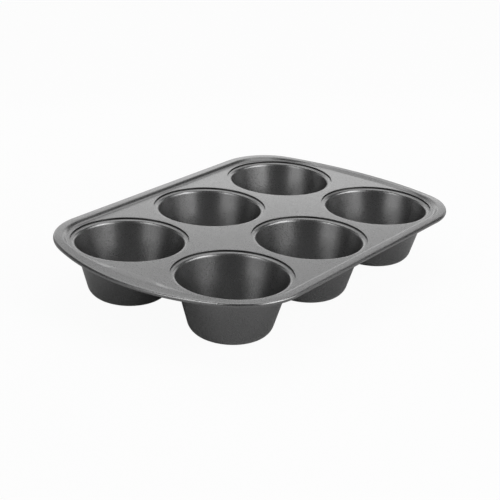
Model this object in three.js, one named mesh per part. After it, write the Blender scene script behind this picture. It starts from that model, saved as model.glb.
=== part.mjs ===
// Jumbo muffin pan of coated sheet steel, in millimetres, +Z up.
// Six drawn cups are held in the grooved seats of one pressed plate, and the plate's edge is rolled
// around a steel wire. The origin is on the ground under the middle of the pan. +X runs along the
// pan's length, with the bare pad on the rim at the -X end.

import * as THREE from 'three';

const degrees = THREE.MathUtils.degToRad;

// Cups: columns run along X, rows along Y
const columnNames = ['front', 'middle', 'back'];
const rowNames = ['right', 'left'];
const cupHeight = 47.2;           // ground to the top of the cup's flange
const mouthRadius = 47.1;         // where the flat flange turns into the lip
const lipRadius = 3.2;            // inside radius of the rounded lip
const wallTaper = degrees(16);    // wall's lean from the vertical
const baseFillet = 11.4;          // outside radius between wall and base
const cupSheet = 0.5;

// Seats: the flange lies on a ledge and under an edge that is upset and coined over it
const clearance = 0.3;            // between pieces that touch
const ringWidth = 1.25;           // flange that shows between the lip and the coined edge
const coinOverlap = 0.65;         // reach of the coined edge over the groove
const coinSheet = 0.85;           // thickness that the coined edge is upset to

// Plate
const plateSheet = 0.6;
const deckWeb = 5.8;              // flat deck between neighbouring seats
const sideMargin = 3.2;           // flat deck between the seats and the riser along the sides
const endMargin = 4;              // flat deck between the seats and the riser across the ends
const rimRise = 2.5;              // deck to the top of the rim
const sideRiser = 2.2;            // run of the riser along the sides
const cornerRiser = 1.6;          // run that it narrows to round the corners
const endRiser = 8.3;             // run of the riser in the middle of the ends
const rimWidth = 7.8;             // top of the riser to the outside of the bead
const cornerRadius = 56.4;        // outside of the rim
const endRadius = 215;            // outward bow of the ends, outside of the rim
const gripSlope = degrees(8.2);   // downward slope of the rim at the ends
const gripStart = 5;              // from the deck's end back to the fold where that slope starts
const gripFold = 6;               // softness of the fold

// Bead: the sheet's edge rolled around the wire
const wireRadius = 1;
const curlAngle = degrees(300);

// Pad on the rim at the -X end
const padInnerHalf = 18;          // half width at the deck
const padOuterHalf = 26;          // half width at the rim
const padReach = 1.4;             // reach over the deck
const padRise = 0.7;
const padWall = 0.7;              // run of the step around the pad

// Facets
const roundSteps = 28;
const lipSteps = 3;
const filletSteps = 4;
const curlSteps = 8;
const wireSides = 8;
const endSteps = 3;
const cornerSteps = 8;

// Levels and radii that follow
const seamRadius = mouthRadius + ringWidth;
const grooveRadius = seamRadius + coinOverlap;
const pitch = 2 * (grooveRadius + plateSheet) + deckWeb;
const deckTop = cupHeight + clearance + coinSheet;
const ledgeTop = cupHeight - cupSheet - clearance;
const beadRadius = wireRadius + clearance + plateSheet;
const beadHeight = deckTop + rimRise - beadRadius;

// Deck: the corner cups' centres, and the straight edge across the ends
const coreX = pitch * (columnNames.length - 1) / 2;
const coreY = pitch * (rowNames.length - 1) / 2;
const deckHalfLength = coreX + grooveRadius + endMargin;

// Rim outline: straight sides, round corners, and ends bowed to a large radius
const halfLength = deckHalfLength + endRiser + rimWidth;
const halfWidth = coreY + grooveRadius + sideMargin + sideRiser + rimWidth;
const endCentreX = halfLength - endRadius;
const cornerY = halfWidth - cornerRadius;
const cornerX = endCentreX + Math.sqrt((endRadius - cornerRadius) ** 2 - cornerY ** 2);
const cornerStart = Math.asin(cornerY / (endRadius - cornerRadius));

// A closed surface, collected as triangles from rings of points.
class Surface {
  corners = [];

  // Faces between two rings of equal length, facing up where the second ring is the outer one.
  band(first, second) {
    for (let i = 0; i < first.length; i += 1) {
      const j = (i + 1) % first.length;
      this.corners.push(first[i], second[i], second[j], first[i], second[j], first[j]);
    }
  }

  // Bands through a list of rings, one after the other.
  skin(rings) {
    for (let i = 1; i < rings.length; i += 1) this.band(rings[i - 1], rings[i]);
  }

  // A level face from a ring to the points around it, facing up or down. Both are taken in turn
  // around the centre, and each new point makes a triangle with the last one of either kind.
  apron(centre, ring, surround, facing) {
    const mark = (points, inner) => points.map((point) => ({
      point,
      inner,
      angle: Math.atan2(point.y - centre.y, point.x - centre.x),
    }));
    const turn = [...mark(ring, true), ...mark(surround, false)].sort((a, b) => a.angle - b.angle);
    let inside = turn.findLast((next) => next.inner).point;
    let outside = turn.findLast((next) => !next.inner).point;
    for (const next of turn) {
      const triangle = [inside, outside, next.point];
      this.corners.push(...(facing > 0 ? triangle : triangle.reverse()));
      if (next.inner) inside = next.point;
      else outside = next.point;
    }
  }

  geometry() {
    const geometry = new THREE.BufferGeometry().setFromPoints(this.corners);
    geometry.computeVertexNormals();
    return geometry;
  }
}

// Centre of each cup, with its name.
function cupPlaces() {
  return columnNames.flatMap((column, i) => rowNames.map((row, j) => ({
    name: `cup_${column}_${row}`,
    x: i * pitch - coreX,
    y: j * pitch - coreY,
  })));
}

// Points of an arc in the plane of a profile, both ends included.
function arc(centreX, centreY, radius, from, to, steps) {
  return Array.from({ length: steps + 1 }, (_, i) => {
    const angle = from + (to - from) * i / steps;
    return new THREE.Vector2(centreX + radius * Math.cos(angle), centreY + radius * Math.sin(angle));
  });
}

// One face of the cup's sheet, from the edge of its flange to the middle of its base.
// The depth into the sheet is 0 on the inside of the cup and the full thickness on the outside.
function cupFace(depth) {
  const lipHeight = cupHeight - lipRadius;
  const wallNormal = new THREE.Vector2(Math.cos(wallTaper), -Math.sin(wallTaper));
  const wallTop = new THREE.Vector2(mouthRadius, lipHeight);
  wallTop.addScaledVector(wallNormal, cupSheet - lipRadius);
  const drop = wallTop.y - baseFillet;
  const filletX = wallTop.x - (baseFillet + drop * Math.sin(wallTaper)) / Math.cos(wallTaper);
  const filletRadius = baseFillet - cupSheet + depth;
  return [
    new THREE.Vector2(grooveRadius - clearance, cupHeight - depth),
    ...arc(mouthRadius, lipHeight, lipRadius - depth, Math.PI / 2, Math.PI - wallTaper, lipSteps),
    ...arc(filletX, baseFillet, filletRadius, -wallTaper, -Math.PI / 2, filletSteps),
    new THREE.Vector2(0, cupSheet - depth),
  ];
}

// The drawn cup, turned about its own axis.
function cupGeometry() {
  const profile = [...cupFace(cupSheet).reverse(), ...cupFace(0)];
  return new THREE.LatheGeometry(profile, roundSteps).rotateX(Math.PI / 2);
}

// Drop of the rim below its own level: none along the sides, a steady slope past the fold.
function gripDrop(x) {
  const past = Math.abs(x) - (deckHalfLength - gripStart);
  return Math.tan(gripSlope) * (past + Math.hypot(past, gripFold)) / 2;
}

// Points along a quarter of the rim's outside, from the middle of an end to the middle of a side,
// each with the rim's outward direction.
function rimQuarter() {
  const along = (centreX, centreY, radius, angle) => ({
    x: centreX + radius * Math.cos(angle),
    y: centreY + radius * Math.sin(angle),
    outX: Math.cos(angle),
    outY: Math.sin(angle),
  });
  const padAngles = [0, padOuterHalf / 2, padOuterHalf, padOuterHalf + padWall]
    .map((y) => Math.asin(y / (endRadius - rimWidth)));
  const lastPadAngle = padAngles[padAngles.length - 1];
  const points = padAngles.map((angle) => along(endCentreX, 0, endRadius, angle));
  for (let i = 1; i <= endSteps; i += 1) {
    const angle = lastPadAngle + (cornerStart - lastPadAngle) * i / endSteps;
    points.push(along(endCentreX, 0, endRadius, angle));
  }
  for (let i = 1; i <= cornerSteps; i += 1) {
    const angle = cornerStart + (Math.PI / 2 - cornerStart) * i / cornerSteps;
    points.push(along(cornerX, cornerY, cornerRadius, angle));
  }
  for (let i = 1; i < columnNames.length; i += 1) {
    points.push({ x: coreX - i * pitch / 2, y: halfWidth, outX: 0, outY: 1 });
  }
  return points;
}

// The whole rim, counter-clockwise from the middle of the +X end.
function rimLoop() {
  const quarter = rimQuarter();
  const mirrored = (points, signX, signY) => points.map((point) => ({
    x: point.x * signX,
    y: point.y * signY,
    outX: point.outX * signX,
    outY: point.outY * signY,
  }));
  const back = [...quarter].reverse();
  return [
    ...quarter.slice(0, -1),
    ...mirrored(back, -1, 1).slice(0, -1),
    ...mirrored(quarter, -1, -1).slice(0, -1),
    ...mirrored(back, 1, -1).slice(0, -1),
  ];
}

const rim = rimLoop();

// A point of the rim's section: its distance outward from the bead's axis and its height over it.
function rimPoint(station, outward, height) {
  const x = station.x + station.outX * (outward - beadRadius);
  const y = station.y + station.outY * (outward - beadRadius);
  return new THREE.Vector3(x, y, beadHeight + height - gripDrop(x));
}

// The ring that one point of the rim's section draws around the pan.
function rimRing(outward, height) {
  return rim.map((station) => rimPoint(station, outward, height));
}

// Shift that moves a corner of the sheet's upper face to its lower face, per unit of thickness.
// The corner's two stretches rise at the given angles.
function mitre(before, after) {
  const across = Math.sin(before) + Math.sin(after);
  const down = Math.cos(before) + Math.cos(after);
  const stretch = 1 + Math.cos(before - after);
  return { outward: across / stretch, down: down / stretch };
}

// The riser at one station of the rim: the foot on the deck, a shoulder and the crest, on both faces
// of the sheet. The foot runs beside the crest and straight across the ends. There it is drawn towards
// the middle, so that the sides of the pad slant, and the pad's shoulder stands right over its foot.
function riser(station) {
  const crestReach = beadRadius - rimWidth;
  const crest = rimPoint(station, crestReach, beadRadius);
  const inset = THREE.MathUtils.lerp(cornerRiser, sideRiser, station.outY ** 2);
  const foot = rimPoint(station, crestReach - inset, beadRadius).setZ(deckTop);
  foot.x = THREE.MathUtils.clamp(foot.x, -deckHalfLength, deckHalfLength);
  const side = Math.abs(crest.y);
  const reach = THREE.MathUtils.mapLinear(side, padOuterHalf, coreY, padInnerHalf, coreY);
  const onEnd = Math.abs(crest.x) > coreX && side < coreY;
  const withinPad = onEnd && side < padOuterHalf + padWall / 2;
  if (onEnd) foot.y = Math.sign(crest.y) * (withinPad ? side * padInnerHalf / padOuterHalf : reach);
  const onPad = withinPad && crest.x < 0;
  if (onPad) foot.x += padReach;
  const outward = crest.clone().sub(foot).setZ(0);
  const run = outward.length();
  outward.normalize();
  const shoulderRun = onPad ? padWall : run / 2;
  const shoulderRise = onPad ? padRise : (crest.z - deckTop) / 2;
  const shoulder = foot.clone().addScaledVector(outward, shoulderRun);
  shoulder.z += shoulderRise;
  const lower = Math.atan2(shoulderRise, shoulderRun);
  const upper = Math.atan2(crest.z - shoulder.z, run - shoulderRun);
  const under = (point, shift) => {
    const moved = point.clone().addScaledVector(outward, plateSheet * shift.outward);
    moved.z -= plateSheet * shift.down;
    return moved;
  };
  return {
    top: [foot, shoulder, crest],
    bottom: [
      under(foot, mitre(0, lower)),
      under(shoulder, mitre(lower, upper)),
      under(crest, mitre(upper, 0)),
    ],
  };
}

// A level ring around a cup's axis, in step with the facets of the cup.
function circle(place, radius, z) {
  return Array.from({ length: roundSteps }, (_, i) => {
    const angle = 2 * Math.PI * i / roundSteps;
    return new THREE.Vector3(place.x + radius * Math.sin(angle), place.y - radius * Math.cos(angle), z);
  });
}

// A cup's seat, from the underside of the deck round the ledge and the groove to the coined edge.
function seatRings(place) {
  const section = [
    [grooveRadius + plateSheet, deckTop - plateSheet],
    [grooveRadius + plateSheet, ledgeTop - plateSheet],
    [mouthRadius, ledgeTop - plateSheet],
    [mouthRadius, ledgeTop],
    [grooveRadius, ledgeTop],
    [grooveRadius, deckTop - coinSheet],
    [seamRadius, deckTop - coinSheet],
    [seamRadius, deckTop],
  ];
  return section.map(([radius, z]) => circle(place, radius, z));
}

// The points around one cup's share of the deck: a stretch of the deck's outline, and the corners
// where the shares of neighbouring cups meet.
function shareOutline(place, outline) {
  const between = (names, core) => names.slice(1).map((_, i) => i * pitch - core + pitch / 2);
  const corners = between(columnNames, coreX).flatMap((x) => between(rowNames, coreY).map((y) => (
    new THREE.Vector3(x, y, outline[0].z)
  )));
  const near = (value, centre, core) => (
    Math.abs(THREE.MathUtils.clamp(value, -core, core) - centre) <= pitch / 2
  );
  return [...outline, ...corners].filter((point) => (
    near(point.x, place.x, coreX) && near(point.y, place.y, coreY)
  ));
}

// The pressed plate: deck, seats, riser, rim and rolled bead as one sheet.
function plateGeometry() {
  const risers = rim.map(riser);
  const upper = [0, 1, 2].map((level) => risers.map((section) => section.top[level]));
  const lower = [2, 1, 0].map((level) => risers.map((section) => section.bottom[level]));
  const curlRing = (point) => rimRing(point.x, point.y);
  const curlStart = Math.PI / 2;
  const curlEnd = curlStart - curlAngle;
  const outerCurl = arc(0, 0, beadRadius, curlStart, curlEnd, curlSteps);
  const innerCurl = arc(0, 0, beadRadius - plateSheet, curlEnd, curlStart, curlSteps);
  const plate = new Surface();
  plate.skin([...upper, ...outerCurl.map(curlRing), ...innerCurl.map(curlRing), ...lower]);
  for (const place of cupPlaces()) {
    const rings = seatRings(place);
    plate.skin(rings);
    plate.apron(place, rings.at(-1), shareOutline(place, upper[0]), 1);
    plate.apron(place, rings[0], shareOutline(place, lower.at(-1)), -1);
  }
  return plate.geometry();
}

// The wire inside the bead, a closed loop around the pan.
function wireGeometry() {
  const section = arc(0, 0, wireRadius, 2 * Math.PI, 0, wireSides);
  const wire = new Surface();
  const rings = section.slice(0, -1).map((point) => rimRing(point.x, point.y));
  wire.skin([...rings, rings[0]]);
  return wire.geometry();
}

function coating() {
  return new THREE.MeshStandardMaterial({ color: 0x4b4c4e, roughness: 0.42, metalness: 0.35 });
}

function bareSteel() {
  return new THREE.MeshStandardMaterial({ color: 0x9b9da0, roughness: 0.35, metalness: 0.9 });
}

function piece(name, geometry, material) {
  const mesh = new THREE.Mesh(geometry, material);
  mesh.name = name;
  return mesh;
}

const pan = new THREE.Group();
pan.add(piece('deck_plate', plateGeometry(), coating()));
pan.add(piece('rim_wire', wireGeometry(), bareSteel()));
for (const place of cupPlaces()) {
  const cup = piece(place.name, cupGeometry(), coating());
  cup.position.set(place.x, place.y, 0);
  pan.add(cup);
}

export default pan;
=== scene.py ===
# Jumbo muffin pan: six drawn cups, crimped into one pressed plate whose edge is rolled round a wire.
# Lengths are in millimetres until a mesh is made from them, and a mesh is in metres, as the frame is.

import math

import bmesh
import bpy
import numpy as np
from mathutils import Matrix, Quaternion, Vector


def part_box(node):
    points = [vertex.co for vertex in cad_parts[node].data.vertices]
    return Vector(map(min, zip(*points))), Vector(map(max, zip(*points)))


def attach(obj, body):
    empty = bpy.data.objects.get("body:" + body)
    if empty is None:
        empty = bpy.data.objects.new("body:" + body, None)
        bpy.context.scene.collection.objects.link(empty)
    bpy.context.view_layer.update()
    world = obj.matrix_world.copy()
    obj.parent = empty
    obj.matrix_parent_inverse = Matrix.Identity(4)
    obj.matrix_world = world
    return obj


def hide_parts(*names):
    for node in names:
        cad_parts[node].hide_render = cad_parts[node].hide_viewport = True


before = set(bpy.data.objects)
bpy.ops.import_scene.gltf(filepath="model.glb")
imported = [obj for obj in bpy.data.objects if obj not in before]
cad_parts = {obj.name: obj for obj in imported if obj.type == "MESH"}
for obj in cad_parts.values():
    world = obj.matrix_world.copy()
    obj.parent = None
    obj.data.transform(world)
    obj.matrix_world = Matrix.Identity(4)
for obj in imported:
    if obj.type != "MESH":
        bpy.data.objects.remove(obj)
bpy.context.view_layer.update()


# Cups
# Each cup is drawn from one disc of thin steel and sprayed all over with a dark grey release coating.
# Its rounded lip runs out into a flat flange, and the plate's seat holds that flange all round.

mm = 0.001
weld = 0.001                         # points closer than this are one point
crease = math.radians(50)            # sharper folds than this stay sharp

cup_nodes = sorted(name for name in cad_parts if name.startswith("cup_"))
cup_boxes = {name: np.array(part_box(name)) / mm for name in cup_nodes}
cup_places = {name: box.mean(axis=0)[:2] for name, box in cup_boxes.items()}
first_cup = cup_boxes[cup_nodes[0]]
cup_height = first_cup[1, 2]
flange_radius = (first_cup[1, 0] - first_cup[0, 0]) / 2

flange_width = 1.6                   # from the lip to the flange's edge
lip_radius = 3.2                     # upper face of the rounded lip
wall_taper = math.radians(16)        # the wall's lean from the vertical
base_fillet = 11.4                   # outside radius between wall and base
cup_sheet = 0.5
hold = 0.25                          # straight stretch beside a fold that keeps flat faces flat
base_stops = [5, 10]                 # rings on the base, from its centre and from its fillet
wall_stop = 8                        # rings on the wall, from its two ends
fillet_steps = 18
lip_steps = 14
cup_turns = 160                      # points around a cup


def arc(across, up, radius, start, end, steps):
    """Points of an arc in a section: the centre plus the radius times cosine and sine of even steps."""
    angle = np.linspace(start, end, steps + 1)
    return np.column_stack([across + radius * np.cos(angle), up + radius * np.sin(angle)])


def between(first, last, stops):
    """Points on the straight line from first to last, at the given distances from its two ends."""
    length = np.linalg.norm(last - first)
    shares = np.concatenate([np.array(stops), length - np.array(stops)[::-1]]) / length
    return first + shares[:, None] * (last - first)


def cup_face(depth):
    """One face of a cup's sheet, at a depth below its inside face, from the middle of the base to the
    flange's edge: base, fillet arc, straight wall, lip arc and flange, each tangent to the next."""
    mouth_radius = flange_radius - flange_width
    lip_height = cup_height - lip_radius
    reach = lip_radius - cup_sheet
    wall_top = np.array([
        mouth_radius - reach * math.cos(wall_taper),
        lip_height + reach * math.sin(wall_taper),
    ])
    drop = wall_top[1] - base_fillet
    fillet_place = wall_top[0] - (base_fillet + drop * math.sin(wall_taper)) / math.cos(wall_taper)
    fillet_radius = base_fillet - cup_sheet + depth
    fillet = arc(fillet_place, base_fillet, fillet_radius, -math.pi / 2, -wall_taper, fillet_steps)
    lip_start = math.pi - wall_taper
    lip = arc(mouth_radius, lip_height, lip_radius - depth, lip_start, math.pi / 2, lip_steps)
    centre = np.array([0, cup_sheet - depth])
    edge = np.array([flange_radius, cup_height - depth])
    return np.vstack([
        centre,
        between(centre, fillet[0], base_stops),
        fillet[0] - [hold, 0],
        fillet,
        between(fillet[-1], lip[0], [hold, wall_stop]),
        lip,
        between(lip[-1], edge, [hold]),
        edge,
    ])


def ring_faces(rings, count, start=0):
    """Four-cornered faces between neighbouring rings of a grid that is stored ring by ring."""
    ring = start + count * np.arange(rings - 1)[:, None]
    here = np.arange(count)[None, :]
    ahead = (here + 1) % count
    corners = [ring + here, ring + count + here, ring + count + ahead, ring + ahead]
    return np.stack(corners, axis=-1).reshape(-1, 4)


def turned(section, place, angles):
    """A section carried around a cup's axis: one ring of points for each radius and height."""
    x = place[0] + section[:, :1] * np.cos(angles)
    y = place[1] + section[:, :1] * np.sin(angles)
    z = np.broadcast_to(section[:, 1:], x.shape)
    return np.stack([x, y, z], axis=-1)


def make_piece(name, points, faces, material):
    """A mesh from a list of points in millimetres, with doubled points welded, riding on the pan."""
    mesh = bpy.data.meshes.new(name)
    mesh.from_pydata((points * mm).tolist(), [], faces.tolist())
    shell = bmesh.new()
    shell.from_mesh(mesh)
    bmesh.ops.remove_doubles(shell, verts=shell.verts, dist=weld * mm)
    shell.to_mesh(mesh)
    shell.free()
    mesh.shade_smooth()
    mesh.set_sharp_from_angle(angle=crease)
    mesh.materials.append(material)
    piece = bpy.data.objects.new(name, mesh)
    bpy.context.scene.collection.objects.link(piece)
    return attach(piece, "root")


class Signal:
    """A socket of a node tree. Arithmetic on it adds Math nodes, and node() adds any other node."""

    def __init__(self, tree, socket=None):
        self.tree = tree
        self.socket = socket

    def node(self, kind, settings=None, sockets=None, output=0):
        """Add a node: its settings first, then the value of, or the link to, each named socket."""
        made = self.tree.nodes.new(kind)
        for name, value in (settings or {}).items():
            setattr(made, name, value)
        for name, value in (sockets or {}).items():
            if isinstance(value, Signal):
                self.tree.links.new(value.socket, made.inputs[name])
            else:
                made.inputs[name].default_value = value
        return Signal(self.tree, made.outputs[output] if made.outputs else None)

    def math(self, operation, first, second):
        """Add a Math node on two values or signals."""
        return self.node("ShaderNodeMath", {"operation": operation}, {0: first, 1: second})

    def __add__(self, other):
        return self.math("ADD", self, other)

    def __sub__(self, other):
        return self.math("SUBTRACT", self, other)

    def __rsub__(self, other):
        return self.math("SUBTRACT", other, self)

    def __mul__(self, other):
        return self.math("MULTIPLY", self, other)

    __radd__ = __add__
    __rmul__ = __mul__


def new_shader(data):
    """An empty node tree on a material or a world, as the start of its signals."""
    data.use_nodes = True
    data.node_tree.nodes.clear()
    return Signal(data.node_tree)


def coating(name):
    """Dark grey release coating: a satin film with a fine sprayed grain, a few paler specks of pigment
    and a sheen that drifts slowly from place to place."""
    dark = (0.006, 0.006, 0.0062, 1)
    pale = (0.015, 0.015, 0.0155, 1)
    drift_tone = 0.5
    speck_tone = 0.8
    satin = 0.30
    drift_gloss = 0.05
    grain_gloss = 0.24
    grain_relief = 0.5
    grain_height = 0.00005
    film_index = 2.5
    middle = 0.5                     # of a noise's range
    material = bpy.data.materials.new(name)
    start = new_shader(material)
    place = start.node("ShaderNodeTexCoord", output="Object")
    drift = start.node("ShaderNodeTexNoise", {}, {"Vector": place, "Scale": 24, "Detail": 3})
    grain = start.node("ShaderNodeTexNoise", {}, {"Vector": place, "Scale": 1400, "Detail": 1})
    speck = start.node("ShaderNodeTexNoise", {}, {"Vector": place, "Scale": 2600, "Detail": 1})
    tone = drift_tone * drift + speck_tone * (speck - middle)
    colour = start.node("ShaderNodeMix", {"data_type": "RGBA"}, {0: tone, 6: dark, 7: pale}, output=2)
    relief = start.node("ShaderNodeBump", {}, {
        "Strength": grain_relief,
        "Distance": grain_height,
        "Height": grain,
    })
    film = start.node("ShaderNodeBsdfPrincipled", {}, {
        "Base Color": colour,
        "Roughness": satin + drift_gloss * (drift - middle) + grain_gloss * (grain - middle),
        "IOR": film_index,
        "Normal": relief,
    })
    start.node("ShaderNodeOutputMaterial", {}, {"Surface": film})
    return material


cup_coating = coating("satin_coating_of_cups")
cup_section = np.vstack([cup_face(0), cup_face(cup_sheet)[::-1]])
cup_angles = 2 * np.pi * np.arange(cup_turns) / cup_turns
cup_faces = ring_faces(len(cup_section), cup_turns)
for node in cup_nodes:
    cup_points = turned(cup_section, cup_places[node], cup_angles).reshape(-1, 3)
    cup = make_piece("drawn_" + node, cup_points, cup_faces, cup_coating)
    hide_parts(node)


# Plate
# One sheet of steel, coated as the cups are, makes the deck, the six seats, the riser, the rim and the
# bead. Each seat is a grooved step with its top edge coined over a cup's flange, and the outer edge is
# rolled round a wire. The ends of the rim bow outwards and droop, as grips, and one has a bare pad.

plate_box = np.array(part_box("deck_plate")) / mm
half_length = plate_box[1, 0]
half_width = plate_box[1, 1]
pitch = 2 * abs(cup_places[cup_nodes[0]][1])
core = np.array([pitch, pitch / 2])  # centre of a corner cup

clearance = 0.3                      # between pieces that touch
plate_sheet = 0.6
coin_overlap = 0.65                  # reach of the coined edge over the groove
coin_sheet = 0.85                    # thickness that the coined edge is upset to
coin_undercut = 0.3                  # lean of its cut face
groove_radius = flange_radius + clearance
seam_radius = groove_radius - coin_overlap
seat_reach = groove_radius + 0.9     # radius of the deck that is made with a seat
deck_top = cup_height + clearance + coin_sheet
ledge_top = cup_height - cup_sheet - clearance

rim_rise = 2.5                       # deck to the top of the rim
riser_run = [1.5, 2.9, 2.2]          # of the riser beside an end, round a corner and along a side
riser_turn = [0.3, 0.7, 1]           # sine of the outline's turn from an end where each run holds
rim_width = 7.8                      # top of the riser to the outside of the bead
corner_radius = 56.4                 # outside of the rim
end_radius = 215                     # outward bow of the ends
end_margin = 4                       # from a seat's groove to the riser across an end
crest_ease = [1.2, 2.5]              # that the crest is drawn in by across the padded and the plain end
crest_lift = 0.25                    # that it rises with this, as a share
ease_half = 60                       # half width over which it is drawn in
grip_slope = math.tan(math.radians(8.2))
grip_start = 5                       # from the deck's end back to the fold where the slope starts
grip_fold = 6                        # softness of that fold
wire_radius = 1
curl_angle = math.radians(300)
bead_radius = wire_radius + clearance + plate_sheet
bead_height = deck_top + rim_rise - bead_radius
deck_end = core[0] + groove_radius + end_margin

pad_inner_half = 18                  # half width of the bare pad at the deck
pad_outer_half = 26                  # half width at the crest of the rim
pad_reach = 1.4                      # reach over the deck
pad_rise = 0.95                      # height of its shoulder over the deck
pad_wall = 1.2                       # run of the step at the pad's inner edge
pad_end = 2.6                        # run of its two ends into the riser
pad_turn = 14                        # run over which its inner edge turns in to them

foot_softness = [0.6, 1.6]           # of the fold at the foot, across the ends and along the sides
crest_softness = 0.8                 # of the fold at the crest
pad_softness = [0.25, 0.9]           # of the folds at the pad's foot and shoulder
seat_softness = [0.3, 0.3, 0.12, 0.12, 0.2, 0.1, 0.08, 0.14]
fold_share = 0.48                    # most of a stretch that a fold at one end of it may take

edge_half = 3                        # to each side of the pad's edge, where stations are close
edge_gap = 1                         # from there to the next station
pad_stations = 12                    # points of the rim's outline along half the pad
edge_stations = 19                   # across the pad's edge
bow_stations = 20                    # from there to the corner
corner_stations = 40                 # round the corner
side_stations = [24, 22]             # beside a corner cup and beside half a middle one
line_stations = 25                   # along each straight line that shares out the deck
curl_steps = 28
seat_steps = 4                       # in each fold of a seat
plain_steps = 11                     # in each of the plain riser's two folds
pad_steps = 7                        # in each of the pad's three, for as many points in all


def rim_quarter():
    """Outline of a quarter of the rim's outside, as places and outward directions: the end's arc, the
    corner's arc and the straight side, with the arcs' centres found so that they meet tangent."""
    end_place = half_length - end_radius
    corner_y = half_width - corner_radius
    corner_x = end_place + math.sqrt((end_radius - corner_radius) ** 2 - corner_y ** 2)
    corner_start = math.asin(corner_y / (end_radius - corner_radius))
    pad_middle = np.linspace(0, pad_outer_half - edge_half - edge_gap, pad_stations)
    pad_edge = pad_outer_half + np.linspace(-edge_half, edge_half, edge_stations)
    pad = np.arcsin(np.concatenate([pad_middle, pad_edge]) / (end_radius - rim_width))
    end = np.concatenate([pad, np.linspace(pad[-1], corner_start, bow_stations)[1:-1]])
    corner = np.linspace(corner_start, np.pi / 2, corner_stations)
    side = np.concatenate([
        np.linspace(corner_x, pitch / 2, side_stations[0])[1:],
        np.linspace(pitch / 2, 0, side_stations[1])[1:],
    ])
    turn = np.concatenate([end, corner, np.full(len(side), np.pi / 2)])
    outward = np.column_stack([np.cos(turn), np.sin(turn)])
    outward[-len(side):, 0] = 0
    end_points = [end_place, 0] + end_radius * outward[:len(end)]
    corner_points = [corner_x, corner_y] + corner_radius * outward[len(end):-len(side)]
    side_points = np.column_stack([side, np.full(len(side), half_width)])
    return np.vstack([end_points, corner_points, side_points]), outward


def all_quarters(points):
    """A quarter's points, mirrored into a closed loop that runs counter-clockwise from the +X end."""
    back = points[::-1]
    quarters = [points, back * [-1, 1], points * [-1, -1], back * [1, -1]]
    return np.vstack([quarter[:-1] for quarter in quarters])


rim_places, rim_outward = (all_quarters(points) for points in rim_quarter())
stations = len(rim_places)


def rim_points(outward, height):
    """Rings round the rim, at distances outward from the bead's axis and heights over it. Past the fold
    near each end, height falls off along a hyperbola that turns into the grip's steady slope."""
    reach = (np.asarray(outward) - bead_radius)[..., None]
    plan = rim_places[:, None, :] + rim_outward[:, None, :] * reach
    past = np.abs(plan[..., 0]) - (deck_end - grip_start)
    drop = grip_slope * (past + np.hypot(past, grip_fold)) / 2
    return np.concatenate([plan, (bead_height + np.asarray(height) - drop)[..., None]], axis=-1)


def softened(corners, softness, steps):
    """Lines through corners, with each inner corner replaced by a parabola. It leaves one straight
    stretch and meets the next at its softness from the corner, or as near as its neighbours allow."""
    lengths = np.linalg.norm(np.diff(corners, axis=-2), axis=-1)
    room = fold_share * lengths
    room[..., [0, -1]] *= 2
    share = np.linspace(0, 1, steps + 1)[:, None]
    stretches = [corners[..., :1, :]]
    for i, soft in enumerate(softness, start=1):
        corner = corners[..., i, :]
        run = np.minimum(soft, np.minimum(room[..., i - 1], room[..., i]))
        before = corner + (corners[..., i - 1, :] - corner) * (run / lengths[..., i - 1])[..., None]
        after = corner + (corners[..., i + 1, :] - corner) * (run / lengths[..., i])[..., None]
        first, middle, last = (point[..., None, :] for point in (before, corner, after))
        fold = (1 - share) ** 2 * first + 2 * share * (1 - share) * middle + share ** 2 * last
        stretches.append(fold)
    return np.concatenate([*stretches, corners[..., -1:, :]], axis=-2)


def eased(share):
    """A share clipped to 0 and 1 that leaves and meets them gently: three squares less two cubes."""
    share = np.clip(share, 0, 1)
    return share * share * (3 - 2 * share)


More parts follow.
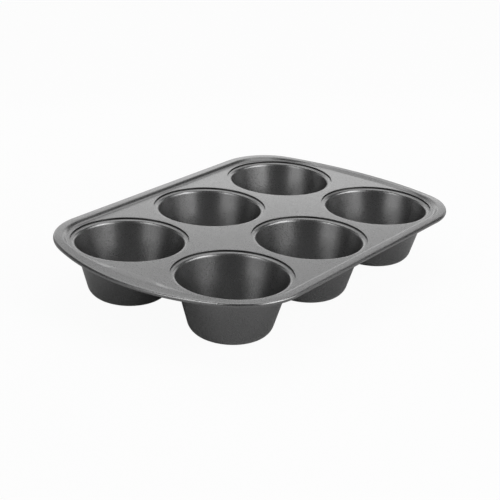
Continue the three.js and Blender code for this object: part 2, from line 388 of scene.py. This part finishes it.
def riser_sections():
    """The riser's section at each station, from the deck to the top of the bead. The crest runs beside
    the rim's outline, and across the ends a parabola draws it in and lifts it. The foot runs beside the
    crest, but straight across the ends, and is drawn to the middle there, so that the pad's sides slant.
    A plain section folds at foot and crest, and the pad's folds at a shoulder between them too."""
    crest_reach = bead_radius - rim_width
    sideways = np.abs(rim_outward[:, 1])
    inset = np.interp(sideways, riser_turn, riser_run)
    drawn_in = np.where(rim_places[:, 0] < 0, *crest_ease)
    ease = drawn_in * np.clip(1 - (rim_places[:, 1] / ease_half) ** 2, 0, 1)
    # Columns for the foot, the crest and the bead.
    outward = crest_reach - np.outer(inset, [1, 0, 0]) - np.outer(ease, [1, 1, 0]) - [0, 0, crest_reach]
    top = rim_points(outward, bead_radius + crest_lift * np.outer(ease, [0, 1, 0]))
    foot, crest, bead = (top[:, i] for i in range(3))
    foot[:, 0] = np.clip(foot[:, 0], -deck_end, deck_end)
    foot[:, 2] = deck_top
    side = np.abs(crest[:, 1])
    drawn = np.interp(side, [0, pad_outer_half, core[1]], [0, pad_inner_half, core[1]])
    on_end = (np.abs(crest[:, 0]) > core[0]) & (side < core[1])
    foot[:, 1] = np.where(on_end, np.sign(crest[:, 1]) * drawn, foot[:, 1])
    padded_end = crest[:, 0] < 0
    over_deck = eased((pad_outer_half - side) / pad_turn + 0.5) * padded_end
    on_pad = eased((pad_outer_half - side) / pad_end + 0.5) * padded_end
    foot[:, 0] += pad_reach * over_deck
    away = (crest - foot) * [1, 1, 0]
    away /= np.linalg.norm(away, axis=1)[:, None]
    shoulder = foot + away * pad_wall + [0, 0, pad_rise]
    nearest = np.array(list(cup_places.values()))[:, None, :] - foot[:, :2]
    room = np.linalg.norm(nearest, axis=-1).min(axis=0) - seat_reach - hold
    lead = np.minimum(np.interp(sideways, [0, 1], foot_softness), room)
    start = foot - away * lead[:, None]
    plain_corners = np.stack([start, foot, crest, bead], axis=1)
    plain = softened(plain_corners, [lead, crest_softness], plain_steps)
    padded_corners = np.stack([start, foot, shoulder, crest, bead], axis=1)
    padded = softened(padded_corners, [*pad_softness, crest_softness], pad_steps)
    return plain + on_pad[:, None, None] * (padded - plain)


def sheet_normals(grid):
    """Upward normals of a grid of stations round the rim: the direction along the section, crossed with
    the direction along the rim."""
    along_section = np.gradient(grid, axis=1)
    along_rim = np.roll(grid, -1, axis=0) - np.roll(grid, 1, axis=0)
    normals = np.cross(along_section, along_rim)
    return normals / np.linalg.norm(normals, axis=-1)[..., None]


upright = [0, 0, 1]
curl = arc(0, 0, bead_radius, math.pi / 2, math.pi / 2 - curl_angle, curl_steps)[1:]
riser = riser_sections()
rim_top = np.concatenate([riser, rim_points(*curl.T)], axis=1)
rim_normals = sheet_normals(rim_top)
rim_normals[:, 0] = upright
by_pad = (rim_places[:, 0] < 0) & (np.abs(rim_places[:, 1]) < pad_outer_half + pad_turn)
rim_normals[by_pad, :riser.shape[1] - 1] = upright
rim_under = rim_top - plate_sheet * rim_normals
rim_sheet = np.concatenate([rim_top, rim_under[:, ::-1]], axis=1).swapaxes(0, 1)

seat_corners = np.array([
    [seat_reach, deck_top - plate_sheet],
    [groove_radius + plate_sheet, deck_top - plate_sheet],
    [groove_radius + plate_sheet, ledge_top - plate_sheet],
    [flange_radius - flange_width, ledge_top - plate_sheet],
    [flange_radius - flange_width, ledge_top],
    [groove_radius, ledge_top],
    [groove_radius, deck_top - coin_sheet],
    [seam_radius + coin_undercut, deck_top - coin_sheet],
    [seam_radius, deck_top],
    [seat_reach, deck_top],
])
seat_section = softened(seat_corners, seat_softness, seat_steps)


def share_lines():
    """Points on the straight lines that share the deck out among the cups, on its upper face."""
    ends = rim_top[:, 0]
    reach_x = [ends[:, 0].min(), -pitch / 2, pitch / 2, ends[:, 0].max()]
    reach_y = [ends[:, 1].min(), 0, ends[:, 1].max()]
    lengthwise = [np.linspace(a, b, line_stations)[1:-1] for a, b in zip(reach_x, reach_x[1:])]
    crosswise = [np.linspace(a, b, line_stations)[1:-1] for a, b in zip(reach_y, reach_y[1:])]
    points = [np.column_stack([x, 0 * x]) for x in lengthwise]
    points += [np.column_stack([0 * y + x, y]) for x in reach_x[1:3] for y in crosswise]
    points.append([[x, 0] for x in reach_x[1:3]])
    plan = np.vstack(points)
    return np.column_stack([plan, np.full(len(plan), deck_top)])


line_points = share_lines()
deck_edge_top = np.vstack([rim_top[:, 0], line_points])
deck_edge_under = np.vstack([rim_under[:, 0], line_points - [0, 0, plate_sheet]])


def deck_share(place):
    """One cup's share of the deck, as rings from its edge on the lower face, through the seat's section,
    to its edge on the upper face. Each ring has its points in the directions of the edge's points."""
    offset = np.clip(deck_edge_top[:, :2], -core, core) - place
    mine = np.all(np.abs(offset) <= pitch / 2 + weld, axis=1)
    angles = np.arctan2(*(deck_edge_top[mine, :2] - place).T[::-1])
    order = np.argsort(angles)
    top = deck_edge_top[mine][order]
    under = deck_edge_under[mine][order]
    seat = turned(seat_section, place, angles[order])
    return np.concatenate([[under], seat, [top]])


plate_points = [rim_sheet.reshape(-1, 3)]
plate_faces = [ring_faces(len(rim_sheet), stations)]
plate_count = rim_sheet.shape[0] * stations
for place in cup_places.values():
    share = deck_share(place)
    plate_points.append(share.reshape(-1, 3))
    plate_faces.append(ring_faces(*share.shape[:2], start=plate_count))
    plate_count += share.shape[0] * share.shape[1]
plate_coating = coating("satin_coating_of_plate")
plate = make_piece("pressed_plate", np.vstack(plate_points), np.vstack(plate_faces), plate_coating)
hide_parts("deck_plate")


# Rim wire
# A round steel wire, closed on itself, that stiffens the rim. It lies inside the bead and shows only in
# the slit under the rim where the sheet's edge ends. Bare drawn steel.

wire_steps = 16                      # points round the wire


def drawn_steel():
    """Bare drawn wire: grey metal with fine streaks that make its polish uneven."""
    grey = (0.36, 0.36, 0.37, 1)
    polish = 0.3
    streak_gloss = 0.2
    material = bpy.data.materials.new("drawn_steel")
    start = new_shader(material)
    place = start.node("ShaderNodeTexCoord", output="Object")
    streak = start.node("ShaderNodeTexNoise", {}, {"Vector": place, "Scale": 900, "Detail": 2})
    metal = start.node("ShaderNodeBsdfPrincipled", {}, {
        "Base Color": grey,
        "Metallic": 1.0,
        "Roughness": polish + streak_gloss * streak,
    })
    start.node("ShaderNodeOutputMaterial", {}, {"Surface": metal})
    return material


wire_section = arc(0, 0, wire_radius, 2 * math.pi, 0, wire_steps)
wire_rings = rim_points(*wire_section.T).swapaxes(0, 1)
wire_faces = ring_faces(len(wire_rings), stations)
wire = make_piece("rolled_in_wire", wire_rings.reshape(-1, 3), wire_faces, drawn_steel())
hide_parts("rim_wire")


# Studio
# A pale floor, with soft boxes in a dim grey room: a low and a high one to each side of the camera, and
# the others behind the pan, from close over the floor to overhead. Lengths here are in metres. The
# camera stands over the front right corner, where front is the end with the pad.

camera_place = Vector((-0.8600, -0.6053, 0.4494))
camera_aim = Vector((-0.0563, -0.0330, 0.0479))
camera_roll = math.radians(2.95)
camera_lens = 95.34
film_width = 36
floor_half = 4.0
air_grey = (0.12, 0.12, 0.12, 1)


def soft_box(name, turn, elevation, distance, width, height, brightness):
    """A rectangular lamp that faces the pan, turned from the camera's side of it by an angle in degrees.
    Its power is brightness times pi times area, so that at brightness 1 the box itself is plain white."""
    lamp = bpy.data.lights.new(name, "AREA")
    lamp.shape = "RECTANGLE"
    lamp.size = width
    lamp.size_y = height
    lamp.energy = brightness * math.pi * width * height
    box = bpy.data.objects.new(name, lamp)
    heading = math.atan2(camera_place.y, camera_place.x) + math.radians(turn)
    lift = math.radians(elevation)
    level = Vector((math.cos(heading), math.sin(heading), 0))
    away = level * math.cos(lift) + Vector((0, 0, math.sin(lift)))
    box.location = away * distance
    box.rotation_mode = "QUATERNION"
    box.rotation_quaternion = (-away).to_track_quat("-Z", "Y")
    box.visible_camera = False
    bpy.context.scene.collection.objects.link(box)


# Turn, elevation, distance, width, height and brightness of each box.
soft_box("left_box", -46, 21, 1.5, 1.00, 0.55, 1.6)
soft_box("high_left_box", -44, 41, 1.5, 0.50, 0.50, 5.0)
soft_box("right_box", 68, 26, 1.5, 1.60, 0.53, 3.6)
soft_box("high_right_box", 66, 42, 1.5, 0.75, 0.48, 5.4)
soft_box("near_back_box", 195, 20.5, 0.55, 2.0, 0.11, 1.2)
soft_box("back_box", 180, 12.5, 2.0, 3.0, 0.67, 0.95)
soft_box("middle_back_box", 195, 33, 2.0, 1.8, 0.36, 1.05)
soft_box("roof_box", 191, 58.5, 2.0, 2.8, 1.18, 1.25)
soft_box("top_box", 180, 84, 2.0, 3.0, 0.63, 2.0)

floor_mesh = bpy.data.meshes.new("floor")
floor_corners = [(x * floor_half, y * floor_half, 0) for x, y in ((-1, -1), (1, -1), (1, 1), (-1, 1))]
floor_mesh.from_pydata(floor_corners, [], [(0, 1, 2, 3)])
floor = bpy.data.objects.new("floor", floor_mesh)
bpy.context.scene.collection.objects.link(floor)


def pale_floor():
    """A matt grey floor that shows mostly as plain white to the camera, and a little so in mirror images,
    so that it stays pale and still keeps the pan's shadow."""
    grey = (0.55, 0.55, 0.55, 1)
    white = (1, 1, 1, 1)
    seen_white = 0.95
    mirrored_white = 0.02
    material = bpy.data.materials.new("pale_floor")
    start = new_shader(material)
    by_camera = start.node("ShaderNodeLightPath", output="Is Camera Ray")
    by_gloss = start.node("ShaderNodeLightPath", output="Is Glossy Ray")
    by_glass = start.node("ShaderNodeLightPath", output="Is Transmission Ray")
    seen = seen_white * by_camera + mirrored_white * (by_gloss + by_glass)
    matt = start.node("ShaderNodeBsdfDiffuse", {}, {"Color": grey})
    glow = start.node("ShaderNodeEmission", {}, {"Color": white, "Strength": 1.0})
    both = start.node("ShaderNodeMixShader", {}, {0: seen, 1: matt, 2: glow})
    start.node("ShaderNodeOutputMaterial", {}, {"Surface": both})
    return material


floor_mesh.materials.append(pale_floor())

world = bpy.data.worlds.new("studio")
bpy.context.scene.world = world
studio = new_shader(world)
air = studio.node("ShaderNodeBackground", {}, {"Color": air_grey, "Strength": 1.0})
studio.node("ShaderNodeOutputWorld", {}, {"Surface": air})

camera_data = bpy.data.cameras.new("camera")
camera_data.sensor_width = film_width
camera_data.lens = camera_lens
camera = bpy.data.objects.new("camera", camera_data)
camera.location = camera_place
camera.rotation_mode = "QUATERNION"
look = (camera_aim - camera_place).to_track_quat("-Z", "Y")
camera.rotation_quaternion = look @ Quaternion((0, 0, 1), camera_roll)
bpy.context.scene.collection.objects.link(camera)
bpy.context.scene.camera = camera
bpy.context.scene.view_settings.view_transform = "Standard"
